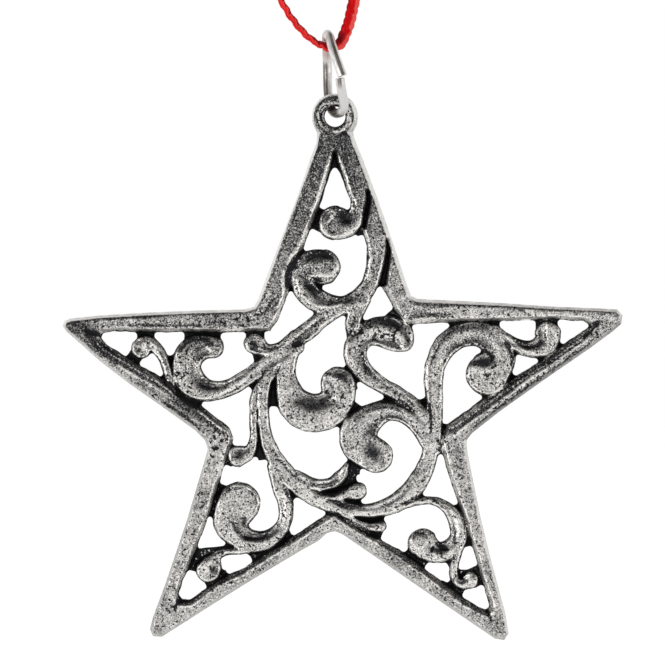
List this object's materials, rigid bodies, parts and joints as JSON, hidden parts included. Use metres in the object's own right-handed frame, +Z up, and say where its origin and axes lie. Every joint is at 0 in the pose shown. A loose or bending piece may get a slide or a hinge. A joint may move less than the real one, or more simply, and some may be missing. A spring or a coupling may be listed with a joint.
{
  "type": "star ornament",
  "caption": "Flat cast openwork star of scrolls in a five-pointed frame, hung by a split wire ring from a knotted loop of flat braided cord.",
  "frame": {"origin": "crook of the cord loop, right under its knot, where a hook or twig carries the ornament", "axes": "+Z up along the hanging cord, +X to the right of the star's front, +Y from the star's front towards its flat back"},
  "size_m": [0.0634, 0.0069, 0.1297],
  "materials": {
    "pewter": "antiqued pewter: rubbed bright on raised edges, blackened in the hollows",
    "ring_wire": "bright silver-coloured wire",
    "cord": "satin flat braid"
  },
  "bodies": {
    "cord_loop": {"hanging_cord": "cord", "cord_knot": "cord"},
    "ring": {"jump_ring": "ring_wire"},
    "star": {"star_casting": "pewter"}
  },
  "joints": [
    {"name": "ring_swing", "type": "hinge", "parent": "cord_loop", "child": "ring", "pos_m": [-0.00045, 0, -0.05], "axis": [1, 0, 0], "range_deg": [-90, 90]},
    {"name": "star_swing", "type": "hinge", "parent": "ring", "child": "star", "pos_m": [0.00029, 0, -0.0574], "axis": [0, 1, 0], "range_deg": [-80, 80]}
  ]
}
